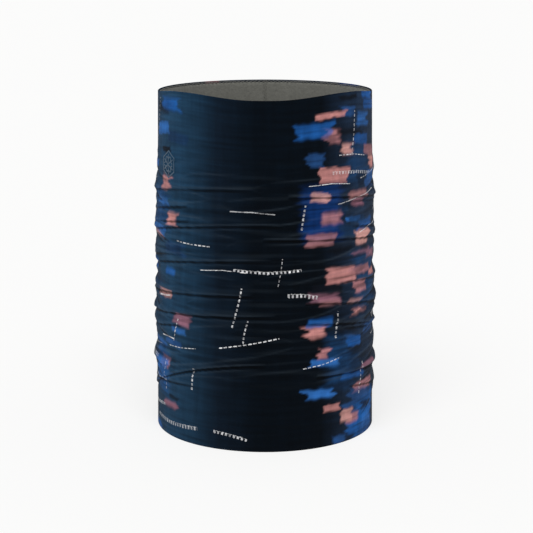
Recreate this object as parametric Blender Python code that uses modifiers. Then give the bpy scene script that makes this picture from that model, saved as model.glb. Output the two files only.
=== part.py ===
"""Neck gaiter: a knitted tube with a brushed lining, standing open on its lower edge.

Metres, +Z up. The origin is the centre of the lower edge, on the surface that it stands on.
-Y is the front, and the seam runs up the back at +Y.
"""

import math

import bmesh
import bpy
from mathutils import Matrix, Vector

# The tube
TOP_RADIUS = 0.078          # outside, at the top edge
BOTTOM_RADIUS = 0.0813      # outside, at the lower edge
HEIGHT = 0.25               # standing, with the cloth gathered
KNIT_THICKNESS = 0.0008     # printed outer knit
LINING_THICKNESS = 0.001    # brushed inner layer
LAYER_GAP = 0.0003          # air between pieces that touch

# The gathers: soft rings that the cloth falls into between its two smooth ends
TOP_SMOOTH = 0.065
BOTTOM_SMOOTH = 0.075
GATHER_COUNT = 4
GATHER_BULGE = 0.0014
GATHER_SAMPLES = 4

# Threads
HEM_THREAD_RADIUS = 0.0006
HEM_FLOOR_CLEARANCE = 0.0006
SEAM_WIDTH = 0.003

# The care label, which hangs by its top edge inside the back
LABEL_WIDTH = 0.03
LABEL_LENGTH = 0.038
LABEL_THICKNESS = 0.0004
LABEL_RISE = 0.028          # lower edge of the label above the lower edge of the tube
STITCH_HEIGHT = 0.0012
STITCH_THICKNESS = 0.0008

# The film emblem, bonded to the outside near the top edge
EMBLEM_RADIUS = 0.0105
EMBLEM_SIDES = 6
EMBLEM_DROP = 0.05          # its centre below the top edge
EMBLEM_TURN = math.radians(-60)     # round the tube from the front
FILM_THICKNESS = 0.0003

TURN_STEPS = 48             # facets round the tube
THREAD_SIDES = 8
MERGE_DISTANCE = 0.00001

LINING_OUTSET = KNIT_THICKNESS + LAYER_GAP      # from the tube's outside in to the lining
LINING_INSET = LINING_OUTSET + LINING_THICKNESS
HEM_CENTRE_INSET = LINING_OUTSET + HEM_THREAD_RADIUS
TOP_HEM_Z = HEIGHT - LAYER_GAP - HEM_THREAD_RADIUS
BOTTOM_HEM_Z = HEM_FLOOR_CLEARANCE + HEM_THREAD_RADIUS
LINING_TOP = TOP_HEM_Z - HEM_THREAD_RADIUS - LAYER_GAP
LINING_BOTTOM = BOTTOM_HEM_Z + HEM_THREAD_RADIUS + LAYER_GAP
GATHER_LENGTH = HEIGHT - TOP_SMOOTH - BOTTOM_SMOOTH
FACET_FACTOR = math.cos(math.pi / TURN_STEPS)   # a facet's middle, as a share of its corners' radius


def taper_radius(z):
    """Outside radius of the smooth tube at height z."""
    return BOTTOM_RADIUS + (TOP_RADIUS - BOTTOM_RADIUS) * z / HEIGHT


def knit_radius(z):
    """Outside radius of the knit at height z, gathers included."""
    along = (z - BOTTOM_SMOOTH) / GATHER_LENGTH
    if not 0.0 < along < 1.0:
        return taper_radius(z)
    ripple = 0.5 - 0.5 * math.cos(2.0 * math.pi * GATHER_COUNT * along)
    return taper_radius(z) + GATHER_BULGE * ripple


def knit_heights():
    """Heights at which the knit's profile has a corner, from the top down."""
    samples = GATHER_COUNT * GATHER_SAMPLES
    gathers = [BOTTOM_SMOOTH + GATHER_LENGTH * i / samples for i in range(samples, -1, -1)]
    return [HEIGHT] + gathers + [0.0]


def make_material(name, colour, roughness):
    """A Principled material with one colour and roughness."""
    material = bpy.data.materials.new(name)
    material.use_nodes = True
    shader = material.node_tree.nodes["Principled BSDF"]
    shader.inputs["Base Color"].default_value = (*colour, 1.0)
    shader.inputs["Roughness"].default_value = roughness
    return material


def add_object(name, mesh, collection, material=None):
    """Link a mesh into the scene as a named object."""
    piece = bpy.data.objects.new(name, mesh)
    collection.objects.link(piece)
    if material:
        mesh.materials.append(material)
    return piece


def turned(name, outline, collection, material=None):
    """A solid turned about Z from a closed outline of (radius, z), outer side first and downwards."""
    profile = bmesh.new()
    corners = [profile.verts.new((radius, 0.0, z)) for radius, z in outline]
    for first, second in zip(corners, corners[1:] + corners[:1]):
        profile.edges.new((first, second))
    mesh = bpy.data.meshes.new(name)
    profile.to_mesh(mesh)
    profile.free()
    piece = add_object(name, mesh, collection, material)
    screw = piece.modifiers.new("turn", "SCREW")
    screw.axis = "Z"
    screw.angle = 2.0 * math.pi
    screw.steps = TURN_STEPS
    screw.render_steps = TURN_STEPS
    screw.use_merge_vertices = True
    screw.merge_threshold = MERGE_DISTANCE
    screw.use_smooth_shade = True
    return piece


def wall_outline(radius_at, heights, outer_inset, inner_inset):
    """Outline of a wall between two insets from radius_at, for turned()."""
    outer = [(radius_at(z) - outer_inset, z) for z in heights]
    inner = [(radius_at(z) - inner_inset, z) for z in reversed(heights)]
    return outer + inner


def box(name, low, high, collection, material=None):
    """A box between two corners, with its mesh in world coordinates."""
    shape = bmesh.new()
    bmesh.ops.create_cube(shape, size=1.0)
    low, high = Vector(low), Vector(high)
    bmesh.ops.scale(shape, vec=high - low, verts=shape.verts)
    bmesh.ops.translate(shape, vec=(low + high) / 2.0, verts=shape.verts)
    mesh = bpy.data.meshes.new(name)
    shape.to_mesh(mesh)
    shape.free()
    return add_object(name, mesh, collection, material)


def cut(piece, cutter, operation):
    """Boolean a piece with a cutter, which is hidden."""
    cutter.display_type = "WIRE"
    cutter.hide_render = True
    boolean = piece.modifiers.new(cutter.name, "BOOLEAN")
    boolean.operation = operation
    boolean.solver = "EXACT"
    boolean.object = cutter


def make_tube(parts, cutters, knit, lining, thread):
    """The outer knit and the lining, each closed at the back by a strip of flat seam thread."""
    reach = 2.0 * max(TOP_RADIUS, BOTTOM_RADIUS)
    slot_half = SEAM_WIDTH / 2.0 + LAYER_GAP
    slot = box("seam_slot", (-slot_half, 0.0, -HEIGHT), (slot_half, reach, 2.0 * HEIGHT), cutters)
    strip_half = SEAM_WIDTH / 2.0
    strip = box("seam_strip", (-strip_half, 0.0, -HEIGHT), (strip_half, reach, 2.0 * HEIGHT), cutters)

    knit_outline = wall_outline(knit_radius, knit_heights(), 0.0, KNIT_THICKNESS)
    cut(turned("outer_knit", knit_outline, parts, knit), slot, "DIFFERENCE")
    cut(turned("outer_seam_thread", knit_outline, parts, thread), strip, "INTERSECT")

    lining_ends = [LINING_TOP, LINING_BOTTOM]
    lining_outline = wall_outline(taper_radius, lining_ends, LINING_OUTSET, LINING_INSET)
    cut(turned("brushed_lining", lining_outline, parts, lining), slot, "DIFFERENCE")
    cut(turned("inner_seam_thread", lining_outline, parts, thread), strip, "INTERSECT")


def make_hem_thread(name, z, parts, thread):
    """A ring of hem thread inside the knit, at one end of the lining."""
    centre = taper_radius(z) - HEM_CENTRE_INSET
    outline = []
    for i in range(THREAD_SIDES):
        turn = math.pi / 2.0 - 2.0 * math.pi * i / THREAD_SIDES
        outline.append((centre + HEM_THREAD_RADIUS * math.cos(turn), z + HEM_THREAD_RADIUS * math.sin(turn)))
    turned(name, outline, parts, thread)


def make_emblem(parts, cutters, film):
    """A thin six-sided film that follows the curve of the knit."""
    centre_z = HEIGHT - EMBLEM_DROP
    rows = [centre_z + EMBLEM_RADIUS * share for share in (1.5, 0.75, 0.0, -0.75, -1.5)]
    outline = wall_outline(knit_radius, rows, -(LAYER_GAP + FILM_THICKNESS), -LAYER_GAP)
    emblem = turned("film_emblem", outline, parts, film)

    shape = bmesh.new()
    depth = TOP_RADIUS
    bmesh.ops.create_cone(
        shape,
        cap_ends=True,
        segments=EMBLEM_SIDES,
        radius1=EMBLEM_RADIUS,
        radius2=EMBLEM_RADIUS,
        depth=depth,
    )
    face_front = Matrix.Rotation(math.pi / 2.0, 4, "X")
    place = Matrix.Rotation(EMBLEM_TURN, 4, "Z") @ Matrix.Translation((0.0, -TOP_RADIUS, centre_z))
    bmesh.ops.transform(shape, matrix=place @ face_front, verts=shape.verts)
    mesh = bpy.data.meshes.new("emblem_outline")
    shape.to_mesh(mesh)
    shape.free()
    cut(emblem, add_object("emblem_outline", mesh, cutters), "INTERSECT")


def make_label(parts, satin, thread):
    """The care label, with its origin on its top edge, and the stitch that holds it."""
    hinge_z = LABEL_RISE + LABEL_LENGTH
    stitch_low = hinge_z + LAYER_GAP
    stitch_high = stitch_low + STITCH_HEIGHT
    wall = (taper_radius(stitch_high) - LINING_INSET) * FACET_FACTOR
    half_width = LABEL_WIDTH / 2.0
    back_y = math.sqrt(wall**2 - half_width**2) - LAYER_GAP
    hinge_y = back_y - STITCH_THICKNESS - LAYER_GAP     # the label swings up past the stitch's face

    half_thickness = LABEL_THICKNESS / 2.0
    label = box(
        "care_label",
        (-half_width, -half_thickness, -LABEL_LENGTH),
        (half_width, half_thickness, 0.0),
        parts,
        satin,
    )
    label.location = (0.0, hinge_y, hinge_z)
    box(
        "label_stitch",
        (-half_width, back_y - STITCH_THICKNESS, stitch_low),
        (half_width, back_y, stitch_high),
        parts,
        thread,
    )


def main():
    """Build the whole gaiter."""
    for old in list(bpy.data.objects):
        bpy.data.objects.remove(old, do_unlink=True)
    parts = bpy.data.collections.new("neck_gaiter")
    cutters = bpy.data.collections.new("cutters")
    for collection in (parts, cutters):
        bpy.context.scene.collection.children.link(collection)

    knit = make_material("printed knit", (0.012, 0.03, 0.07), 0.75)
    lining = make_material("brushed lining", (0.13, 0.13, 0.12), 0.9)
    knit_thread = make_material("dark seam thread", (0.02, 0.03, 0.05), 0.7)
    hem_thread = make_material("grey hem thread", (0.07, 0.07, 0.065), 0.7)
    satin = make_material("label satin", (0.75, 0.75, 0.72), 0.5)
    film = make_material("emblem film", (0.02, 0.06, 0.12), 0.45)

    make_tube(parts, cutters, knit, lining, knit_thread)
    make_hem_thread("top_hem_thread", TOP_HEM_Z, parts, hem_thread)
    make_hem_thread("bottom_hem_thread", BOTTOM_HEM_Z, parts, hem_thread)
    make_emblem(parts, cutters, film)
    make_label(parts, satin, hem_thread)


main()
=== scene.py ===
import math
import random
import bmesh
import bpy
import numpy as np
from mathutils import Matrix, Vector, noise


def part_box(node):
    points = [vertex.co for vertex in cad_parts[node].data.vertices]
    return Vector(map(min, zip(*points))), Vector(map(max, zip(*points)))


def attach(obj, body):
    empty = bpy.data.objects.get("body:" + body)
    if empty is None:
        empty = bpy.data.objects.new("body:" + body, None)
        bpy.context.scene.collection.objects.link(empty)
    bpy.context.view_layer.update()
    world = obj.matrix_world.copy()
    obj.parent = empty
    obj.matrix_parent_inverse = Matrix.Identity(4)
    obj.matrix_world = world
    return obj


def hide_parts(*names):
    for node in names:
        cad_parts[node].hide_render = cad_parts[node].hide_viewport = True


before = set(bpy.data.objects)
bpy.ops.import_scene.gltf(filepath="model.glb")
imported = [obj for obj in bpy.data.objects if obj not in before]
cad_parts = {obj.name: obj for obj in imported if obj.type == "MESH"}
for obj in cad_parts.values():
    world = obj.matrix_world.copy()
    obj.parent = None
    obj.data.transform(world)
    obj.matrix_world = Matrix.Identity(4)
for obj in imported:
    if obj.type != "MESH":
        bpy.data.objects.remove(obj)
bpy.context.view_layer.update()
mm = 0.001
print("frame loaded:", sorted(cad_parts))

# the tube's sizes come from the CAD solids
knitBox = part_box("outer_knit")
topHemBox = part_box("top_hem_thread")
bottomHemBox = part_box("bottom_hem_thread")
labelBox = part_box("care_label")
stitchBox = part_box("label_stitch")
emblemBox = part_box("film_emblem")

tube = {
    "hemInset": 1.1 * mm,  # from the knit's outside in to the hem thread
    "knitThickness": 0.8 * mm,
    "liningInset": 1.1 * mm,
    "liningThickness": 1.0 * mm,
    "clothFlat": (0.490, 0.280),  # the cut sheet, round the neck and along it
    "edgeRound": 0.25 * mm,
    "edgeCorner": 0.2,  # how much of a layer's thickness each rounded corner takes
    "frontShare": 0.3,  # how much closer the mesh columns stand at the front
}
height = knitBox[1].z
topRadius = topHemBox[1].x + tube["hemInset"]
bottomRadius = bottomHemBox[1].x + tube["hemInset"]
printReach = 80.0  # mm of print for each radian round the tube
halfRound = math.pi * printReach


def toLinear(hexColour):
    # sRGB hex to linear
    channels = [int(hexColour[i : i + 2], 16) / 255 for i in (0, 2, 4)]
    return [c / 12.92 if c <= 0.04045 else ((c + 0.055) / 1.055) ** 2.4 for c in channels]


def smooth(low, high, values):
    share = np.clip((values - low) / (high - low), 0.0, 1.0)
    return share * share * (3.0 - 2.0 * share)


# ---- camera, floor and light come first, so that a look is possible at any stage
studio = {
    "camera": (1.1 * mm, -1.170, 0.3676),
    "aim": (1.1 * mm, 0.0, 0.118),
    "lens": 108.2,
    "floorColour": "959594",
    "floorGlow": 0.68,  # a lit table, which leaves hardly any shadow
    "backdrop": 0.95,  # what the camera sees past the floor
    "roomLight": 0.40,
    "sunStrength": 2.2,
    "sunSize": 50.0,  # degrees across, a large soft box
    "sunFrom": (-0.1, -0.95, 1.3),
}


def makeStudio():
    scene = bpy.context.scene
    scene.view_settings.view_transform = "Standard"
    camera = bpy.data.cameras.new("camera")
    camera.lens = studio["lens"]
    camera.sensor_width = 36.0
    camera.clip_end = 50.0
    cameraObject = bpy.data.objects.new("camera", camera)
    cameraObject.location = studio["camera"]
    look = Vector(studio["aim"]) - Vector(studio["camera"])
    cameraObject.rotation_euler = look.to_track_quat("-Z", "Y").to_euler()
    scene.collection.objects.link(cameraObject)
    scene.camera = cameraObject

    world = bpy.data.worlds.new("studio")
    world.use_nodes = True
    tree = world.node_tree
    background = tree.nodes["Background"]
    path = tree.nodes.new("ShaderNodeLightPath")
    level = tree.nodes.new("ShaderNodeMapRange")
    level.inputs["To Min"].default_value = studio["roomLight"]
    level.inputs["To Max"].default_value = studio["backdrop"]
    tree.links.new(path.outputs["Is Camera Ray"], level.inputs["Value"])
    tree.links.new(level.outputs["Result"], background.inputs["Strength"])
    background.inputs["Color"].default_value = (1.0, 1.0, 1.0, 1.0)
    scene.world = world

    sun = bpy.data.lights.new("softBox", "SUN")
    sun.energy = studio["sunStrength"]
    sun.angle = math.radians(studio["sunSize"])
    sunObject = bpy.data.objects.new("softBox", sun)
    sunObject.rotation_euler = Vector(studio["sunFrom"]).to_track_quat("Z", "Y").to_euler()
    scene.collection.objects.link(sunObject)

    flat = bmesh.new()
    bmesh.ops.create_grid(flat, x_segments=1, y_segments=1, size=20.0)
    mesh = bpy.data.meshes.new("floor")
    flat.to_mesh(mesh)
    flat.free()
    floor = bpy.data.objects.new("floor", mesh)
    scene.collection.objects.link(floor)
    paper = bpy.data.materials.new("frosted acrylic light table")
    paper.use_nodes = True
    shader = paper.node_tree.nodes["Principled BSDF"]
    shader.inputs["Base Color"].default_value = (*toLinear(studio["floorColour"]), 1.0)
    shader.inputs["Roughness"].default_value = 0.95
    shader.inputs["Specular IOR Level"].default_value = 0.0
    shader.inputs["Emission Color"].default_value = (1.0, 1.0, 1.0, 1.0)
    shader.inputs["Emission Strength"].default_value = studio["floorGlow"]
    mesh.materials.append(paper)
    print("studio ready")


# ---- the gathers: soft folds that lie round the tube, lower at its sides than in front
# the long folds: side (-1 is the left), mm up in front, mm lower at the side, lift in mm
longFolds = [
    (-1, 65, 35, 1.5), (-1, 100, 10, 1.5), (-1, 115, 10, 1.0), (-1, 140, 15, 1.0), (-1, 165, 15, 1.1),
    (-1, 190, 10, 0.7), (1, 55, 5, 2.2), (1, 95, 15, 1.4), (1, 110, 15, 1.2), (1, 155, 10, 1.3),
    (1, 185, 10, 1.4),
]
gather = {
    "seed": 4,
    "zone": (38 * mm, 62 * mm, 190 * mm, 214 * mm),  # where the folds fade in and out
    "bulge": 0.7 * mm,
    "backRise": 5.0,  # the long folds again behind, a little higher
    "longStart": (-10, 30),  # degrees past the front or back centre
    "shortFolds": 6,  # on each side, between the long ones
    "shortHeights": (40, 205),
    "shortFall": (8, 16),
    "shortLift": (0.7, 1.1),
    "shortStart": (35, 50),
    "foldEnd": (108, 126),
    "above": (4.0, 9.0),  # mm that a fold fades over upwards
    "below": 1.6,  # and downwards
    "sway": 0.25,  # how much a fold's lift comes and goes along it
    "swayTurns": 5.0,
    "swayShift": 9.0,
    "tuck": 0.45,  # how far the cloth tucks in under a fold, as a share of its lift
    "tuckAt": 1.5,  # how far under the fold, and how high the tuck is, as shares of below
    "tuckReach": 0.75,
    "droop": 0.45,  # how far a fold hangs over, as a share of its lift
    "droopEdge": 0.8,  # mm under a fold that still hang with it
    "pinch": 1.1 * mm,  # sharp little folds
    "pinchSpacing": 9.0 * mm,
    "pinchLevel": 0.55,  # how far the cloth stands out at a pinch, and how steeply it falls beside it
    "pinchSharp": 2.2,
    "pinchRound": 1.5,  # a smaller number makes them longer round the tube
    "tilt": -6.0 * mm,  # how far they slope across the front
    "calmFront": 0.18,  # what is left of them at the front and back
    "wrinkle": 0.3 * mm,
    "wrinkleSpacing": 5.0 * mm,
    "wrinkleRound": 3.0,
    "calmEnds": 0.12,  # what is left of the wrinkles towards the two edges
    "rimLift": 3.5 * mm,
    "rimSpan": (5, 45, 50, 88),  # degrees round from the front
    "rimFrom": 170 * mm,
}


def makeFolds():
    # start and end are degrees from the front or back centre towards the fold's side
    draw = random.Random(gather["seed"])
    low, high = gather["shortHeights"]
    count = gather["shortFolds"]
    folds = []
    for turn in (0.0, 180.0):
        rise = gather["backRise"] if turn else 0.0
        made = []
        for side, up, fall, lift in longFolds:
            made.append((side, up + rise, fall, lift, draw.uniform(*gather["longStart"])))
        for side in (-1, 1):
            for i in range(count):
                up = low + (high - low) * (i + draw.random()) / count
                fall = draw.uniform(*gather["shortFall"])
                lift = draw.uniform(*gather["shortLift"])
                made.append((side, up, fall, lift, draw.uniform(*gather["shortStart"])))
        for side, up, fall, lift, start in made:
            folds.append({
                "turn": turn, "side": side, "up": up, "fall": fall, "lift": lift, "start": start,
                "end": draw.uniform(*gather["foldEnd"]), "above": draw.uniform(*gather["above"]),
            })
    return folds


folds = makeFolds()


def inGathers(z):
    # 1 where the tube is gathered, 0 at its two smooth ends
    low, lowFull, highFull, high = gather["zone"]
    return smooth(low, lowFull, z) * (1.0 - smooth(highFull, high, z))


def clothShape(angle, z):
    # how far the gathers push the cloth out and let it droop, in metres
    degrees = np.degrees(angle)
    outward = gather["bulge"] * inGathers(z)
    droop = np.zeros_like(degrees)
    below, sway = gather["below"], gather["sway"]
    for fold in folds:
        local = ((degrees - fold["turn"]) * fold["side"] + 180.0) % 360.0 - 180.0
        along = (local - fold["start"]) / (fold["end"] - fold["start"])
        taper = np.sqrt(np.clip(np.sin(math.pi * np.clip(along, 0.0, 1.0)), 0.0, 1.0))
        phase = np.radians(local * gather["swayTurns"] + fold["up"] * gather["swayShift"])
        taper = taper * (1.0 - sway + sway * np.cos(phase))
        offset = z / mm - fold["up"] + fold["fall"] * (1.0 - np.cos(np.radians(local)))
        reach = np.where(offset > 0.0, fold["above"], below)
        ridge = np.exp(-((offset / reach) ** 2)) * taper * fold["lift"] * mm
        depth = (offset + gather["tuckAt"] * below) / (gather["tuckReach"] * below)
        under = np.exp(-(depth**2)) * taper
        outward = outward + ridge - gather["tuck"] * under * fold["lift"] * mm
        hang = np.where(offset > 0.0, 1.0, np.exp(-((offset / gather["droopEdge"]) ** 2)))
        droop = droop + gather["droop"] * ridge * hang
    return outward, droop


def wrinkles(angle, z):
    # creases between the folds, long round the tube and short along it; most at the two sides
    pinched = np.empty(len(angle))
    fine = np.empty(len(angle))
    pinchRound, wrinkleRound = gather["pinchRound"], gather["wrinkleRound"]
    for i in range(len(angle)):
        across, deep = math.sin(angle[i]), math.cos(angle[i])
        tilt = z[i] + gather["tilt"] * across
        place = Vector((across * pinchRound, deep * pinchRound, tilt / gather["pinchSpacing"]))
        pinched[i] = noise.noise(place)
        place = Vector((across * wrinkleRound, deep * wrinkleRound, z[i] / gather["wrinkleSpacing"]))
        fine[i] = noise.noise(place)
    inZone = inGathers(z)
    atSides = gather["calmFront"] + (1.0 - gather["calmFront"]) * np.sin(angle) ** 2
    ridges = gather["pinchLevel"] - np.abs(pinched) * gather["pinchSharp"]
    ends = gather["calmEnds"] + (1.0 - gather["calmEnds"]) * inZone
    return gather["pinch"] * ridges * inZone * atSides + gather["wrinkle"] * fine * ends


def rimLift(angle, z):
    # the top edge stands a little higher to both sides of the front, and dips between them
    degrees = np.abs(np.degrees((angle + math.pi) % (2.0 * math.pi) - math.pi))
    inner, innerFull, outerFull, outer = gather["rimSpan"]
    beside = smooth(inner, innerFull, degrees) * (1.0 - smooth(outerFull, outer, degrees))
    return gather["rimLift"] * beside * smooth(gather["rimFrom"], height, z)


def clothPoints(angle, z, inset=0.0, share=1.0, fine=True):
    # points on the gathered cloth, inset from its outside; share fades the folds
    angle, z = np.atleast_1d(np.asarray(angle, float)), np.atleast_1d(np.asarray(z, float))
    outward, droop = clothShape(angle, z)
    if fine:
        outward = outward + wrinkles(angle, z)
    radius = bottomRadius + (topRadius - bottomRadius) * z / height + share * outward - inset
    rise = rimLift(angle, z) - share * droop
    return np.stack([radius * np.sin(angle), -radius * np.cos(angle), z + rise], -1)


# ---- the print: a plain brushed pattern of blocks and dashes, composed here by seeded draws
# places are in mm on the cloth: round from the front centre, and up from the lower edge
printing = {
    "seed": 21,
    # the printed ground by degrees round from the front, the same at both ends; its fall from the bright
    # bands towards the two sides is partly print and partly painted shade
    "groundAndSideShade": [
        (-180, "0A1A2C"), (-110, "08182A"), (-60, "1F4360"), (-40, "173248"), (-25, "0A1826"),
        (-5, "020912"), (30, "020912"), (60, "1E3048"), (110, "0C1C30"), (180, "0A1A2C"),
    ],
    "lowShade": 0.75,  # the ground is darker towards the lower edge
    # columns that run up the cloth: mm round, spread in mm, how many blocks and washes
    "columns": [(-220, 24, 26, 1), (-90, 24, 28, 2), (70, 34, 72, 5), (175, 24, 30, 2)],
    # their sizes and soft edges, in mm
    "washes": {
        "colours": ["0B3470", "1A5AA0", "16406C"],
        "across": (22, 36), "up": (24, 44), "edge": (4, 7),
    },
    "blocks": {
        "colours": [
            "D09890", "C88884", "B0777A", "8E6070", "2E68B0", "1C58A0", "244B80", "163456", "0A0F18",
            "0A0F18",
        ],
        "across": (10, 32), "up": (3, 12), "edge": (0.7, 2.2),
    },
    "slope": (-0.12, 0.04),  # mm that a block climbs for each mm round
    "cornerAcross": (0.8, 1.0),  # how far each corner reaches, as a share of the half size
    "cornerUp": (0.75, 1.0),
    "strength": (0.55, 1.0),  # how well a block covers what is under it
    # light strokes: kind, how many, length, lean in degrees, width, repeat, filled share
    "strokes": [
        ("dash", 26, (16, 42), 80, (0.6, 1.6), 3.2, 0.6),
        ("dash", 14, (25, 60), 3, (0.6, 1.0), 3.6, 0.7),
        ("line", 16, (15, 50), 5, (0.5, 1.0), 5.0, 1.0),
        ("comb", 14, (18, 55), -2, (2.0, 3.0), 3.0, 0.5),
    ],
    "strokeColour": "ECECEE",
    "strokeRise": (0.03, 0.88),  # where a stroke may start, as a share of the height
    "strokeTurn": 9,  # degrees that its lean varies
    "strokeBow": 0.04,  # how far it bows, as a share of its length
    "strokeBright": (0.5, 1.0),
    "smear": 4.0,  # mm that a block's ends run out sideways for each mm of soft edge
    "smearMost": 1.8,  # edges softer than this run out no further
    "streaks": 0.45,  # how much the brush streaks thin a block
    # how fine the brush marks are round and up, for each mm
    "smearGrain": (0.05, 0.3),
    "wobbleGrain": (0.18, 0.18),
    "streakGrain": (0.03, 0.55),
    "groundTone": (0.28, 0.12),  # how much streaks and smears change the ground
    "blockTone": (0.22, 0.15),  # how much streaks and wobble change a block
}


def makePatch(draw, kind, middle, spread, i, count):
    # a block's or wash's colour, soft edge in mm, strength and corners
    u = middle + draw.uniform(-1, 1) * spread
    v = height / mm * (i + draw.random()) / count
    wide, high = draw.uniform(*kind["across"]) / 2.0, draw.uniform(*kind["up"]) / 2.0
    slope = draw.uniform(*printing["slope"])
    corners = []
    for across, up in ((-1, 1), (1, 1), (1, -1), (-1, -1)):
        corner = u + across * wide * draw.uniform(*printing["cornerAcross"])
        rise = up * high * draw.uniform(*printing["cornerUp"])
        corners.append((corner, v + rise + slope * (corner - u)))
    colour, edge = draw.choice(kind["colours"]), draw.uniform(*kind["edge"])
    return colour, edge, draw.uniform(*printing["strength"]), corners


def makePatches(draw):
    # in the order that they are painted
    washes, blocks = [], []
    for middle, spread, blockCount, washCount in printing["columns"]:
        for made, count, kind in ((washes, washCount, "washes"), (blocks, blockCount, "blocks")):
            for i in range(count):
                made.append(makePatch(draw, printing[kind], middle, spread, i, count))
    draw.shuffle(blocks)
    return washes + blocks


def makeStrokes(draw):
    # kind, width, repeat, filled share, brightness and points
    strokes = []
    vary, bowMost = printing["strokeTurn"], printing["strokeBow"]
    for kind, count, lengths, lean, widths, repeat, filled in printing["strokes"]:
        for i in range(count):
            u = halfRound * (2.0 * (i + draw.random()) / count - 1.0)
            v = draw.uniform(*printing["strokeRise"]) * height / mm
            length = draw.uniform(*lengths)
            turn = math.radians(lean + draw.uniform(-vary, vary))
            bow = draw.uniform(-bowMost, bowMost) * length
            along, aside = (math.cos(turn), math.sin(turn)), (-math.sin(turn), math.cos(turn))
            points = [
                (u + length * t * along[0] + b * aside[0], v + length * t * along[1] + b * aside[1])
                for t, b in ((0.0, 0.0), (0.5, bow), (1.0, 0.0))
            ]
            width = draw.uniform(*widths)
            strokes.append((kind, width, repeat, filled, draw.uniform(*printing["strokeBright"]), points))
    return strokes


printDraw = random.Random(printing["seed"])
patches = makePatches(printDraw)
strokes = makeStrokes(printDraw)


def insideDistance(u, v, corners):
    # distance to a block's edge in mm, positive inside it
    nearest = np.full(u.shape, 1e9)
    inside = np.zeros(u.shape, bool)
    for (ax, ay), (bx, by) in zip(corners, corners[1:] + corners[:1]):
        ex, ey = bx - ax, by - ay
        t = np.clip(((u - ax) * ex + (v - ay) * ey) / max(ex * ex + ey * ey, 1e-9), 0.0, 1.0)
        nearest = np.minimum(nearest, np.hypot(u - ax - t * ex, v - ay - t * ey))
        crosses = (ay > v) != (by > v)
        inside ^= crosses & (u < (bx - ax) * (v - ay) / (by - ay if by != ay else 1e-9) + ax)
    return np.where(inside, nearest, -nearest)


def groundWithSideShade(u, v):
    # the cloth's ground under the print, linear, darker towards the two sides partly as print and partly
    # as painted shade
    degrees = np.degrees(u / printReach)
    places = [stop[0] for stop in printing["groundAndSideShade"]]
    stops = np.array([toLinear(stop[1]) for stop in printing["groundAndSideShade"]])
    colour = np.column_stack([np.interp(degrees, places, stops[:, c]) for c in range(3)])
    rise = np.clip(v * mm / height, 0.0, 1.0)
    return colour * (printing["lowShade"] + (1.0 - printing["lowShade"]) * rise)[:, None]


def clothNoise(u, v, grain, layer):
    # brush marks at each place on the cloth; every layer has its own
    return np.array([noise.noise(Vector((x * grain[0], y * grain[1], layer))) for x, y in zip(u, v)])


def paintCloth(u, v):
    # the printed colour at each place on the cloth, linear, over a ground that holds painted shade towards
    # the two sides
    smear = clothNoise(u, v, printing["smearGrain"], 3.0)
    wobble = clothNoise(u, v, printing["wobbleGrain"], 7.0)
    streak = clothNoise(u, v, printing["streakGrain"], 11.0)
    byStreak, bySmear = printing["groundTone"]
    colour = groundWithSideShade(u, v) * (1.0 + byStreak * streak + bySmear * smear)[:, None]
    byStreak, byWobble = printing["blockTone"]
    for hexColour, soft, strength, corners in patches:
        paint = np.array(toLinear(hexColour))
        reach = 2.0 * soft + printing["smear"]
        across = [p[0] for p in corners]
        up = [p[1] for p in corners]
        beside = (u > min(across) - reach) & (u < max(across) + reach)
        near = np.flatnonzero(beside & (v > min(up) - reach) & (v < max(up) + reach))
        if not len(near):
            continue
        shiftU = smear[near] * printing["smear"] * min(soft, printing["smearMost"])
        depth = insideDistance(u[near] + shiftU, v[near] + wobble[near], corners)
        thin = printing["streaks"] * smooth(0.05, 0.6, -streak[near]) * min(soft / 2.0, 1.0)
        cover = smooth(-soft, soft, depth) * strength * (1.0 - thin)
        tone = 1.0 + byStreak * streak[near] + byWobble * wobble[near]
        colour[near] += (paint * tone[:, None] - colour[near]) * cover[:, None]
    return np.clip(colour, 0.0, 1.0)


def strokeAttributes(cornerU, cornerV):
    # each face keeps its place along and across the nearest stroke, so the stroke's edges stay crisp
    faceU, faceV = cornerU.mean(1), cornerV.mean(1)
    place = np.zeros(cornerU.shape + (3,), np.float32)
    place[..., 1] = 9.0  # far outside any stroke
    style = np.zeros(cornerU.shape + (3,), np.float32)
    nearest = np.full(len(faceU), 1e9)
    for kind, width, repeat, filled, bright, points in strokes:
        half = width / 2.0
        total = sum(math.dist(a, b) for a, b in zip(points, points[1:])) / repeat
        start = 0.0
        for (ax, ay), (bx, by) in zip(points, points[1:]):
            length = math.dist((ax, ay), (bx, by))
            dx, dy = (bx - ax) / length, (by - ay) / length
            t = np.clip((faceU - ax) * dx + (faceV - ay) * dy, 0.0, length)
            distance = np.hypot(faceU - ax - t * dx, faceV - ay - t * dy)
            take = (distance < half + 1.0) & (distance / half < nearest)  # 1 mm more than its width
            nearest[take] = distance[take] / half
            u, v = cornerU[take] - ax, cornerV[take] - ay
            along = start + (u * dx + v * dy) / repeat
            across = (v * dx - u * dy) / half
            # the line that a comb's teeth hang from
            rail = across if kind == "comb" else across * 0.0 - 1.0
            place[take] = np.stack([along, across, rail], -1)
            style[take] = np.stack([along * 0.0 + filled, along * 0.0 + bright, total - along], -1)
            start += length / repeat
    return place, style


# ---- shared makers
def addNode(tree, kind, inputs=None, **settings):
    # one node with its settings, and its inputs as numbers or links
    node = tree.nodes.new("ShaderNode" + kind)
    for key, value in settings.items():
        setattr(node, key, value)
    for key, value in (inputs or {}).items():
        if isinstance(value, bpy.types.NodeSocket):
            tree.links.new(value, node.inputs[key])
        else:
            node.inputs[key].default_value = value
    return node


def newMaterial(name, **sockets):
    material = bpy.data.materials.new(name)
    material.use_nodes = True
    tree = material.node_tree
    shader = tree.nodes["Principled BSDF"]
    for key, value in sockets.items():
        shader.inputs[key.replace("_", " ")].default_value = value
    return material, tree, shader


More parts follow.
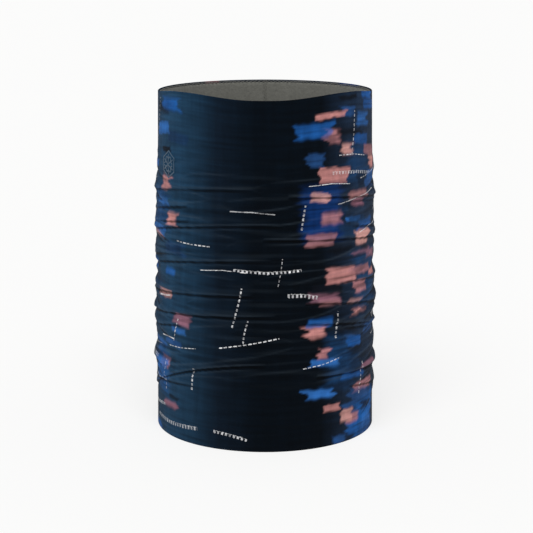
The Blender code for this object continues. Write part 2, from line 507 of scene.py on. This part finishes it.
def addPiece(name, mesh, material, nodes, body="tube"):
    piece = bpy.data.objects.new(name, mesh)
    bpy.context.scene.collection.objects.link(piece)
    mesh.materials.clear()
    mesh.materials.append(material)
    for polygon in mesh.polygons:
        polygon.use_smooth = True
    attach(piece, body)
    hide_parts(*nodes)
    print("made", name, len(mesh.polygons), "faces")
    return piece


def threadMesh(name, paths, radius, sides=1, closed=False):
    # thread laid along each path, as a mesh
    curve = bpy.data.curves.new(name, "CURVE")
    curve.dimensions = "3D"
    curve.bevel_depth = radius
    curve.bevel_resolution = sides
    curve.use_fill_caps = not closed
    for path in paths:
        spline = curve.splines.new("POLY")
        spline.points.add(len(path) - 1)
        spline.points.foreach_set("co", np.column_stack([path, np.ones(len(path))]).ravel())
        spline.use_cyclic_u = closed
    holder = bpy.data.objects.new(name, curve)
    mesh = bpy.data.meshes.new_from_object(holder)
    mesh.name = name
    bpy.data.objects.remove(holder)
    bpy.data.curves.remove(curve)
    return mesh


def rollCloth(name, columns, faceRows, low, high, facePoints, wallPoints, wallRows):
    # one flat grid, rolled round the neck and turned over at both edges, then joined to itself
    rows = faceRows + wallRows
    flat = bmesh.new()
    flat.loops.layers.uv.new("OFBake")
    bmesh.ops.create_grid(flat, x_segments=columns, y_segments=rows, size=0.5, calc_uvs=True)
    mesh = bpy.data.meshes.new(name)
    flat.to_mesh(mesh)
    flat.free()

    # even columns stand closer together at the front
    turn = np.linspace(-1.0, 1.0, columns + 1)
    turn = np.tile(math.pi * turn - tube["frontShare"] * np.sin(math.pi * turn), rows + 1)
    row = np.repeat(np.arange(rows + 1), columns + 1)
    onFace = row <= faceRows
    z = low + (high - low) * np.clip(row / faceRows, 0.0, 1.0)
    points = np.empty((len(row), 3))
    points[onFace] = facePoints(turn[onFace], z[onFace])
    down = (row[~onFace] - faceRows) / wallRows
    points[~onFace] = wallPoints(turn[~onFace], down)
    last = row == rows
    points[last] = points[row == 0]
    mesh.vertices.foreach_set("co", points.ravel())
    return mesh, turn * printReach, z / mm, onFace


def joinCloth(mesh):
    cloth = bmesh.new()
    cloth.from_mesh(mesh)
    bmesh.ops.remove_doubles(cloth, verts=cloth.verts, dist=0.01 * mm)
    bmesh.ops.recalc_face_normals(cloth, faces=cloth.faces)
    cloth.to_mesh(mesh)
    cloth.free()


def wallPath(low, high, fromInset, toInset):
    # the hidden side of a layer, from one edge round to the other: (inset, height)
    lip = tube["edgeRound"]
    near = tube["edgeCorner"]
    far = 1.0 - near
    early, late = fromInset * far + toInset * near, fromInset * near + toInset * far
    path = [(early, high + lip), (late, high + lip)]
    path += [(toInset, high + (low - high) * i / 9) for i in range(10)]
    return path + [(late, low - lip), (early, low - lip), (fromInset, low)]


def makeLayer(name, columns, faceRows, box, fromInset, toInset, share):
    low, high = box[0].z + tube["edgeRound"], box[1].z - tube["edgeRound"]
    path = wallPath(low, high, fromInset, toInset)
    insets = np.array([p[0] for p in path])
    heights = np.array([p[1] for p in path])

    def facePoints(angle, z):
        return clothPoints(angle, z, fromInset, share)

    def wallPoints(angle, down):
        step = np.rint(down * len(path)).astype(int) - 1
        return clothPoints(angle, heights[step], insets[step], 0.0, fine=False)

    return rollCloth(name, columns, faceRows, low, high, facePoints, wallPoints, len(path))


# ---- outer knit: printed polyester jersey, circular-knitted and printed by heat transfer,
# which gives a matte face with fine upright ribs of stitches and colours that sink in a little
knit = {
    "columns": 400,
    "faceRows": 226,
    "wale": 0.62,  # mm between stitch columns
    "course": 0.52,  # mm between stitch rows
    "stitchDepth": 0.07 * mm,
    "stitchTone": 0.07,
    "mottle": 0.10,  # how unevenly the ink took
    "bristles": ((0.02, 0.3, 1.0), (0.13, 0.012, 1.0)),  # streaks round the tube, and up it
    "bristleDepth": 0.45,
    # painted shade in the creases; on the ridges a paler colour, partly pale ground yarn grinning through
    # and partly a painted highlight
    "paintedCreaseShade": 0.75,
    "yarnAndHighlightColour": "8296A8",
    "grinAndPaintedHighlight": 0.055,
    "plainEdge": 2.0,  # mm at each edge that get no painted crease shade or ridge highlight
    "sharpBend": 0.30 * mm,  # rise over a row of the mesh that counts as a full crease, for the painted crease shade and ridge highlight
    "roughness": 0.7,
    "specular": 0.045,
    "sheen": 0.006,
    # the light strokes
    "dashVaries": 0.2,
    "railFrom": 0.68,  # where a comb's rail starts, as a share of its half width
    "dryFrom": 0.38,  # a dry brush misses more and more from the second level down to this one
    "dryTo": 0.52,
    "dryCover": 0.35,  # and leaves this much there
    "edgeAt": 0.9,  # a stroke's edge, as a share of its half width, and how much it wanders
    "edgeWander": 1.6,
    "fade": (0.5, 0.6),  # how much the dashes differ in strength, and the faintest
}


def knitMaterial():
    material, tree, shader = newMaterial("printed polyester jersey", Roughness=knit["roughness"])
    shader.inputs["Sheen Weight"].default_value = knit["sheen"]
    shader.inputs["Specular IOR Level"].default_value = knit["specular"]
    # the print, whose ground holds painted shade towards the two sides
    paint = addNode(tree, "Attribute", attribute_name="printWithSideShade")
    place = addNode(tree, "Attribute", attribute_name="strokePlace")
    style = addNode(tree, "Attribute", attribute_name="strokeStyle")
    cloth = addNode(tree, "Attribute", attribute_name="clothPlace").outputs["Vector"]
    along, across, rail = addNode(tree, "SeparateXYZ", {0: place.outputs["Vector"]}).outputs
    share, bright, left = addNode(tree, "SeparateXYZ", {0: style.outputs["Vector"]}).outputs
    roundMm, upMm, _ = addNode(tree, "SeparateXYZ", {0: cloth}).outputs

    def calc(operation, a, b=0.0, c=0.0):
        return addNode(tree, "Math", {0: a, 1: b, 2: c}, operation=operation).outputs[0]

    # light strokes with dry-brush edges: dashes and teeth nearly even, each with its own strength
    grain = addNode(tree, "TexNoise", {"Vector": cloth, "Scale": 0.9, "Detail": 3.0})
    wander = calc("SUBTRACT", grain.outputs["Fac"], 0.5)
    dashNumber = calc("FLOOR", along)
    each = addNode(tree, "TexWhiteNoise", {"W": dashNumber}, noise_dimensions="1D").outputs["Value"]
    varied = calc("MULTIPLY_ADD", each, knit["dashVaries"], 1.0 - knit["dashVaries"] / 2.0)
    length = calc("MULTIPLY", share, varied)
    filled = calc("LESS_THAN", calc("FRACT", along), calc("MULTIPLY_ADD", wander, 0.2, length))
    ink = calc("MAXIMUM", filled, calc("GREATER_THAN", rail, knit["railFrom"]))
    dry = addNode(tree, "TexNoise", {"Vector": cloth, "Scale": 0.5, "Detail": 4.0, "Roughness": 0.7})
    dryRange = {0: dry.outputs["Fac"], 1: knit["dryFrom"], 2: knit["dryTo"], 3: knit["dryCover"], 4: 1.0}
    ink = calc("MULTIPLY", ink, addNode(tree, "MapRange", dryRange).outputs[0])
    edge = calc("MULTIPLY_ADD", wander, knit["edgeWander"], calc("ABSOLUTE", across))
    ink = calc("MULTIPLY", ink, calc("LESS_THAN", edge, knit["edgeAt"]))
    ink = calc("MULTIPLY", ink, calc("MULTIPLY_ADD", each, *knit["fade"]))
    # nothing before the stroke's start or after its end
    ink = calc("MULTIPLY", ink, calc("GREATER_THAN", along, 0.0))
    ink = calc("MULTIPLY", ink, calc("GREATER_THAN", left, 0.0))
    ink = calc("MULTIPLY", ink, bright)
    stroke = (*toLinear(printing["strokeColour"]), 1.0)
    inked = addNode(tree, "Mix", {0: ink, 6: paint.outputs["Color"], 7: stroke}, data_type="RGBA")

    # stitch columns, each a chain of leaning loops
    ribs = calc("SINE", calc("MULTIPLY", roundMm, 2.0 * math.pi / knit["wale"]))
    lean = calc("MULTIPLY", calc("ABSOLUTE", ribs), 1.4)
    loops = calc("SINE", calc("MULTIPLY_ADD", upMm, 2.0 * math.pi / knit["course"], lean))
    stitches = calc("MULTIPLY_ADD", loops, 0.35, ribs)
    mottle = addNode(tree, "TexNoise", {"Vector": cloth, "Scale": 0.6, "Detail": 3.0})
    tone = calc("MULTIPLY_ADD", calc("SUBTRACT", mottle.outputs["Fac"], 0.5), 2.0 * knit["mottle"], 1.0)
    tone = calc("MULTIPLY_ADD", stitches, knit["stitchTone"], tone)
    # bristle marks run both ways through the paint, and show most in the bright colours
    for stretch in knit["bristles"]:
        brushed = addNode(tree, "Mapping", {"Vector": cloth, "Scale": stretch}).outputs[0]
        bristleNoise = {"Vector": brushed, "Scale": 1.0, "Detail": 3.0, "Roughness": 0.6}
        bristle = addNode(tree, "TexNoise", bristleNoise)
        streak = calc("MULTIPLY_ADD", bristle.outputs["Fac"], 2.0, -1.0)
        tone = calc("MULTIPLY", tone, calc("MULTIPLY_ADD", streak, knit["bristleDepth"], 1.0))
    # painted shade darkens the creases; the ridges turn paler, partly pale ground yarn grinning through
    # the print along a stretched fold and partly a painted highlight
    bend = addNode(tree, "Attribute", attribute_name="bend").outputs["Fac"]
    paintedShadeMask = calc("MAXIMUM", bend, 0.0)
    tone = calc("MULTIPLY", tone, calc("MULTIPLY_ADD", paintedShadeMask, -knit["paintedCreaseShade"], 1.0))
    ridge = calc("MULTIPLY", calc("MAXIMUM", calc("MULTIPLY", bend, -1.0), 0.0), knit["grinAndPaintedHighlight"])
    toned = addNode(tree, "VectorMath", {0: inked.outputs[2], "Scale": tone}, operation="SCALE")
    yarnAndHighlight = (*toLinear(knit["yarnAndHighlightColour"]), 1.0)
    grinAndHighlightMix = addNode(tree, "Mix", {0: ridge, 6: toned.outputs[0], 7: yarnAndHighlight}, data_type="RGBA")
    tree.links.new(grinAndHighlightMix.outputs[2], shader.inputs["Base Color"])
    bump = addNode(tree, "Bump", {"Height": stitches, "Distance": knit["stitchDepth"], "Strength": 0.7})
    tree.links.new(bump.outputs[0], shader.inputs["Normal"])
    return material


def makeKnit():
    mesh, u, v, onFace = makeLayer(
        "outerKnit", knit["columns"], knit["faceRows"], knitBox, 0.0, tube["knitThickness"], 1.0
    )
    # the print, with painted shade in its ground towards the two sides, reads its place from the cloth, so
    # that it rides over the folds with it
    paint = mesh.attributes.new("printWithSideShade", "FLOAT_COLOR", "POINT")
    colours = np.column_stack([paintCloth(u, v), np.ones(len(u))])
    paint.data.foreach_set("color", colours.astype(np.float32).ravel())
    points = np.empty(len(u) * 3)
    mesh.vertices.foreach_get("co", points)
    points = points.reshape(-1, knit["columns"] + 1, 3)
    radius = np.hypot(points[..., 0], points[..., 1])
    # how sharply the cloth bends up the tube, for painted shade in the creases and a partly painted
    # highlight on the ridges
    bend = np.zeros_like(radius)
    bend[1:-1] = radius[2:] + radius[:-2] - 2.0 * radius[1:-1]
    bend = np.clip(bend / knit["sharpBend"], -1.0, 1.0).ravel() * onFace
    edge = knit["plainEdge"]
    bend[(v < edge) | (v > height / mm - edge)] = 0.0
    layer = mesh.attributes.new("bend", "FLOAT", "POINT")
    layer.data.foreach_set("value", bend.astype(np.float32))
    corners = np.empty(len(mesh.loops), np.int32)
    mesh.loops.foreach_get("vertex_index", corners)
    place, style = strokeAttributes(u[corners].reshape(-1, 4), v[corners].reshape(-1, 4))
    cloth = np.stack([u[corners], v[corners], corners * 0.0], -1)
    for name, values in (("strokePlace", place), ("strokeStyle", style), ("clothPlace", cloth)):
        layer = mesh.attributes.new(name, "FLOAT_VECTOR", "CORNER")
        layer.data.foreach_set("vector", values.astype(np.float32).ravel())
    joinCloth(mesh)
    return addPiece("outerKnit", mesh, knitMaterial(), ["outer_knit"])


# ---- brushed lining: polyester microfleece, its inner loops raised with wire brushes,
# which gives a dull grey face with a short soft nap that catches light at its edges
lining = {
    "columns": 240,
    "faceRows": 120,
    "foldShare": 0.4,  # how much of each fold shows through inside
    "colour": "7E7E77",
    "shade": "64645E",
    "nap": 2.2,  # mm across a tuft, about twice the real size
    "napDepth": 0.8 * mm,
    "paintedInsideShade": 0.74,  # painted shade: how much darker the lining is below the rim, deeper inside the tube
    "paintedInsideShadeFrom": 28 * mm,
    "roughness": 0.95,
    "sheen": 0.35,
}


def liningMaterial():
    material, tree, shader = newMaterial("brushed polyester microfleece", Roughness=lining["roughness"])
    shader.inputs["Sheen Weight"].default_value = lining["sheen"]
    shader.inputs["Sheen Roughness"].default_value = 0.6
    shader.inputs["Specular IOR Level"].default_value = 0.15
    place = addNode(tree, "TexCoord").outputs["Object"]
    tuft = addNode(tree, "TexNoise", {"Vector": place, "Scale": 1.0 / (lining["nap"] * mm), "Detail": 4.0})
    brushed = addNode(tree, "Mapping", {"Vector": place, "Scale": (1.0, 1.0, 0.25)})
    streak = addNode(tree, "TexNoise", {"Vector": brushed.outputs[0], "Scale": 160.0, "Detail": 2.0})
    shade = (*toLinear(lining["shade"]), 1.0)
    light = (*toLinear(lining["colour"]), 1.0)
    soft = addNode(tree, "Mix", {0: tuft.outputs["Fac"], 6: shade, 7: light}, data_type="RGBA")
    tone = addNode(tree, "Math", {0: streak.outputs["Fac"], 1: 0.3, 2: 0.85}, operation="MULTIPLY_ADD")
    # painted shade: the lining darkens from the rim down into the tube
    up = addNode(tree, "SeparateXYZ", {0: place}).outputs["Z"]
    low = height - lining["paintedInsideShadeFrom"]
    rise = addNode(tree, "MapRange", {0: up, 1: low, 2: height, 3: lining["paintedInsideShade"], 4: 1.0}).outputs[0]
    tone = addNode(tree, "Math", {0: tone.outputs[0], 1: rise}, operation="MULTIPLY")
    toned = addNode(tree, "VectorMath", {0: soft.outputs[2], "Scale": tone.outputs[0]}, operation="SCALE")
    tree.links.new(toned.outputs[0], shader.inputs["Base Color"])
    napBump = {"Height": tuft.outputs["Fac"], "Distance": lining["napDepth"], "Strength": 0.6}
    bump = addNode(tree, "Bump", napBump)
    tree.links.new(bump.outputs[0], shader.inputs["Normal"])
    return material


def makeLining():
    inset = tube["liningInset"]
    mesh = makeLayer(
        "brushedLining", lining["columns"], lining["faceRows"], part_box("brushed_lining"),
        inset + tube["liningThickness"], inset, lining["foldShare"],
    )[0]
    joinCloth(mesh)
    return addPiece("brushedLining", mesh, liningMaterial(), ["brushed_lining"])


# ---- threads: spun polyester, three strands twisted, which gives a fine slanting shine
thread = {
    "hemPitch": 3.2 * mm,
    "hemRadius": 0.22 * mm,
    "hemBite": 0.7 * mm,  # how far each stitch reaches over the edge of the lining
    "hemOver": 0.2 * mm,  # how far the stitches stand past the thread's middle
    "hemWave": 0.25 * mm,  # how far they swing out and back in
    "hemSink": 0.3 * mm,
    "hemPoints": 8,  # in each stitch
    "hemColour": "6A6A66",
    "seamPitch": 2.4 * mm,
    "seamHalf": 1.4 * mm,
    "seamStop": 0.5 * mm,  # short of the two edges
    "seamRadius": 0.2 * mm,
    "seamColour": "20303F",
    "outerInset": -0.15 * mm,  # from the knit's outside in to the thread
    "innerInset": 2.08 * mm,
    "innerColour": "82827C",
    "labelColour": "4A4A48",
    "twist": 0.7 * mm,
}


def threadMaterial(name, colour):
    material, tree, shader = newMaterial(name, Roughness=0.6)
    shader.inputs["Specular IOR Level"].default_value = 0.4
    place = addNode(tree, "TexCoord").outputs["Object"]
    slant = addNode(tree, "Mapping", {"Vector": place, "Rotation": (0.6, 0.5, 0.4)})
    twist = addNode(
        tree, "TexWave", {"Vector": slant.outputs[0], "Scale": 0.32 / thread["twist"], "Distortion": 1.5}
    )
    dark = (*[c * 0.6 for c in toLinear(colour)], 1.0)
    light = (*toLinear(colour), 1.0)
    tint = addNode(tree, "Mix", {0: twist.outputs["Fac"], 6: dark, 7: light}, data_type="RGBA")
    tree.links.new(tint.outputs[2], shader.inputs["Base Color"])
    bump = addNode(tree, "Bump", {"Height": twist.outputs["Fac"], "Distance": 0.1 * mm, "Strength": 0.5})
    tree.links.new(bump.outputs[0], shader.inputs["Normal"])
    return material


def makeHem(name, node, box, side, material):
    # an overedge stitch: a wave of thread that rides over the lining's edge, all the way round
    middle = (box[0].z + box[1].z) / 2.0
    radius = box[1].x - (box[1].z - box[0].z) / 2.0
    stitches = round(2.0 * math.pi * radius / thread["hemPitch"])
    t = np.arange(stitches * thread["hemPoints"])
    angle = 2.0 * math.pi * t / len(t)
    phase = 2.0 * math.pi * t / thread["hemPoints"]
    out = radius + thread["hemWave"] * np.cos(phase) - thread["hemSink"] * (1.0 - np.cos(phase))
    rise = rimLift(angle, np.full(len(angle), middle))
    bite = thread["hemBite"] * (0.5 - 0.5 * np.cos(phase))
    lift = middle + rise + side * (thread["hemOver"] - bite)
    wave = np.stack([out * np.sin(angle), -out * np.cos(angle), lift], -1)
    core = np.stack([radius * np.sin(angle), -radius * np.cos(angle), middle + rise], -1)
    mesh = threadMesh(name, [wave, core], thread["hemRadius"], closed=True)
    return addPiece(name, mesh, material, [node])


def makeSeam(name, node, inset, share, material):
    # a flat-lock stitch: two rails with a zigzag between them, up the back
    low, high = knitBox[0].z + thread["seamStop"], knitBox[1].z - thread["seamStop"]
    radius = (topRadius + bottomRadius) / 2.0
    rows = round((high - low) / (thread["seamPitch"] / 2.0))
    z = np.linspace(low, high, rows + 1)
    side = np.where(np.arange(rows + 1) % 2, 1.0, -1.0) * thread["seamHalf"]
    paths = [clothPoints(math.pi + side / radius, z, inset, share)]
    for rail in (-1.0, 0.0, 1.0):
        around = math.pi + rail * thread["seamHalf"] / radius + z * 0.0
        paths.append(clothPoints(around, z, inset, share))
    mesh = threadMesh(name, paths, thread["seamRadius"])
    return addPiece(name, mesh, material, [node])


# ---- film emblem: polyurethane transfer film, cut and heat-pressed,
# which gives flat tonal shapes that stand a hair above the cloth with a soft satin shine
emblem = {
    "turn": -60.0,  # degrees round from the front
    "radius": 9.6,  # mm to the ring's corners
    "ring": 1.0,
    "armWidth": 0.9,
    "armEnd": 7.0,
    "barb": 2.4,
    "barbAt": 4.2,
    "thickness": 0.25,
    "colour": "1E435C",
    "roughness": 0.42,
}


def makeEmblem():
    flat = bmesh.new()
    bmesh.ops.create_circle(flat, segments=6, radius=emblem["radius"], cap_ends=True)
    face = flat.faces[:][0]
    bmesh.ops.inset_individual(flat, faces=[face], thickness=emblem["ring"])
    bmesh.ops.delete(flat, geom=[face], context="FACES")
    bmesh.ops.create_circle(flat, segments=6, radius=emblem["armWidth"] * 1.2, cap_ends=True)
    for i in range(6):
        arm = Matrix.Rotation(math.radians(60.0 * i + 30.0), 4, "Z")
        start = emblem["armWidth"] * 1.3
        addBar(flat, arm, (start, 0.0), emblem["armEnd"] - start, 0.0)
        for turn in (-60.0, 60.0):
            off = emblem["armWidth"] * 0.62 * math.copysign(1.0, turn)
            addBar(flat, arm, (emblem["barbAt"], off), emblem["barb"], turn)
    bmesh.ops.subdivide_edges(flat, edges=flat.edges[:], cuts=2, use_grid_fill=True)
    bmesh.ops.recalc_face_normals(flat, faces=flat.faces)
    sheet = bmesh.ops.extrude_face_region(flat, geom=flat.faces[:])
    lifted = [part for part in sheet["geom"] if isinstance(part, bmesh.types.BMVert)]
    bmesh.ops.translate(flat, vec=(0.0, 0.0, emblem["thickness"]), verts=lifted)
    mesh = bpy.data.meshes.new("filmEmblem")
    flat.to_mesh(mesh)
    flat.free()

    # bent onto the cloth
    points = np.empty(len(mesh.vertices) * 3)
    mesh.vertices.foreach_get("co", points)
    points = points.reshape(-1, 3) * mm
    centre = (emblemBox[0].z + emblemBox[1].z) / 2.0
    angle = math.radians(emblem["turn"]) + points[:, 0] / topRadius
    bent = clothPoints(angle, centre + points[:, 1], -0.1 * mm - points[:, 2])
    mesh.vertices.foreach_set("co", bent.ravel())
    solid = bmesh.new()
    solid.from_mesh(mesh)
    bmesh.ops.recalc_face_normals(solid, faces=solid.faces)
    solid.to_mesh(mesh)
    solid.free()

    material, tree, shader = newMaterial("polyurethane transfer film", Roughness=emblem["roughness"])
    place = addNode(tree, "TexCoord").outputs["Object"]
    cloudy = addNode(tree, "TexNoise", {"Vector": place, "Scale": 500.0, "Detail": 2.0})
    base = toLinear(emblem["colour"])
    dark, light = (*[c * 0.85 for c in base], 1.0), (*[c * 1.1 for c in base], 1.0)
    tint = addNode(tree, "Mix", {0: cloudy.outputs["Fac"], 6: dark, 7: light}, data_type="RGBA")
    tree.links.new(tint.outputs[2], shader.inputs["Base Color"])
    bump = addNode(tree, "Bump", {"Height": cloudy.outputs["Fac"], "Distance": 0.05 * mm, "Strength": 0.4})
    tree.links.new(bump.outputs[0], shader.inputs["Normal"])
    piece = addPiece("filmEmblem", mesh, material, ["film_emblem"])
    for polygon in mesh.polygons:
        polygon.use_smooth = False
    return piece


def addBar(flat, arm, start, length, turn):
    # a bar that leaves start at an angle from its arm
    bar = bmesh.ops.create_grid(flat, x_segments=3, y_segments=1, size=0.5)["verts"]
    bmesh.ops.scale(flat, vec=(length, emblem["armWidth"], 1.0), verts=bar)
    bmesh.ops.translate(flat, vec=(length / 2.0, 0.0, 0.0), verts=bar)
    place = arm @ Matrix.Translation((*start, 0.0)) @ Matrix.Rotation(math.radians(turn), 4, "Z")
    bmesh.ops.transform(flat, matrix=place, verts=bar)


# ---- care label: woven polyester satin ribbon, cut hot,
# which gives a plain off-white face with a fine crosswise gloss and melted edges
label = {
    "thickness": 0.35 * mm,
    "curl": 1.6 * mm,  # how far the free end lifts off the wall
    "cup": 0.5 * mm,
    "hemHeight": 2.6 * mm,
    "colour": "E4E1D8",
    "pick": 0.5 * mm,  # crosswise threads, drawn about three times their real size
    "hemGap": 0.15 * mm,  # air behind the folded hem, and between it and the label's face
    "stitches": 9,
    "stitchRadius": 0.22 * mm,
    "rowShare": 0.94,  # how much of the width the row of stitches takes
    "stitchFrom": 0.12,  # where a stitch starts, and how long it is, as shares of its pitch
    "stitchShare": 0.72,
    "stitchHump": 0.25 * mm,
}


def labelMaterial():
    material, tree, shader = newMaterial("woven satin ribbon", Roughness=0.42)
    shader.inputs["Sheen Weight"].default_value = 0.15
    place = addNode(tree, "TexCoord").outputs["Object"]
    picks = addNode(tree, "TexWave", {"Vector": place, "Scale": 0.32 / label["pick"], "Distortion": 0.4},
                    bands_direction="Z")
    slub = addNode(tree, "TexNoise", {"Vector": place, "Scale": 300.0, "Detail": 2.0})
    base = toLinear(label["colour"])
    dark, light = (*[c * 0.88 for c in base], 1.0), (*base, 1.0)
    tint = addNode(tree, "Mix", {0: slub.outputs["Fac"], 6: dark, 7: light}, data_type="RGBA")
    tree.links.new(tint.outputs[2], shader.inputs["Base Color"])
    bump = addNode(tree, "Bump", {"Height": picks.outputs["Fac"], "Distance": 0.08 * mm, "Strength": 0.5})
    tree.links.new(bump.outputs[0], shader.inputs["Normal"])
    return material


def ribbonMesh(name, width, low, high, yAt, thickness, cuts):
    # an upright ribbon between two heights, with yAt giving its face
    flat = bmesh.new()
    bmesh.ops.create_grid(flat, x_segments=20, y_segments=cuts, size=0.5)
    bmesh.ops.recalc_face_normals(flat, faces=flat.faces)
    layer = bmesh.ops.extrude_face_region(flat, geom=flat.faces[:])
    lifted = [part for part in layer["geom"] if isinstance(part, bmesh.types.BMVert)]
    bmesh.ops.translate(flat, vec=(0.0, 0.0, thickness), verts=lifted)
    for vert in flat.verts:
        across, up, deep = vert.co
        z = low + (high - low) * (up + 0.5)
        vert.co = (across * width, yAt(across * 2.0, up + 0.5) + deep, z)
    bmesh.ops.recalc_face_normals(flat, faces=flat.faces)
    mesh = bpy.data.meshes.new(name)
    flat.to_mesh(mesh)
    flat.free()
    return mesh


def makeLabel():
    satin = labelMaterial()
    width = labelBox[1].x - labelBox[0].x
    face = labelBox[0].y
    top = labelBox[1].z

    def hangingFace(across, up):
        free = (1.0 - up) ** 2
        return face - label["curl"] * free - label["cup"] * across * across * (1.0 - up)

    mesh = ribbonMesh("careLabel", width, labelBox[0].z, top, hangingFace, label["thickness"], 26)
    hanging = addPiece("careLabel", mesh, satin, ["care_label"], "label")
    back = stitchBox[1].y

    def hemFace(across, up):
        return back - label["thickness"] - label["hemGap"]

    hemLow = top + label["hemGap"]
    hemTop = hemLow + label["hemHeight"]
    mesh = ribbonMesh("labelHem", width, hemLow, hemTop, hemFace, label["thickness"], 3)
    addPiece("labelHem", mesh, satin, ["label_stitch"])

    # running stitches through the hem
    row = (stitchBox[0].z + stitchBox[1].z) / 2.0
    rowWidth = width * label["rowShare"]
    pitch = rowWidth / label["stitches"]
    paths = []
    for i in range(label["stitches"]):
        start = -rowWidth / 2.0 + pitch * (i + label["stitchFrom"])
        x = np.linspace(start, start + pitch * label["stitchShare"], 7)
        hump = np.sin(np.linspace(0.0, math.pi, 7)) * label["stitchHump"]
        paths.append(np.stack([x, hemFace(0, 0) + 0.05 * mm - hump, row + x * 0.0], -1))
    mesh = threadMesh("labelStitch", paths, label["stitchRadius"])
    labelThread = threadMaterial("grey label thread", thread["labelColour"])
    addPiece("labelStitch", mesh, labelThread, ["label_stitch"])
    return hanging


# ---- everything, in the order that it is sewn
makeStudio()
outerKnit = makeKnit()
brushedLining = makeLining()
hemThread = threadMaterial("grey hem thread", thread["hemColour"])
topHem = makeHem("topHemThread", "top_hem_thread", topHemBox, 1.0, hemThread)
bottomHem = makeHem("bottomHemThread", "bottom_hem_thread", bottomHemBox, -1.0, hemThread)
seamThread = threadMaterial("navy seam thread", thread["seamColour"])
outerSeam = makeSeam("outerSeamThread", "outer_seam_thread", thread["outerInset"], 1.0, seamThread)
innerThread = threadMaterial("grey seam thread", thread["innerColour"])
innerSeam = makeSeam(
    "innerSeamThread", "inner_seam_thread", thread["innerInset"], lining["foldShare"], innerThread
)
filmEmblem = makeEmblem()
careLabel = makeLabel()
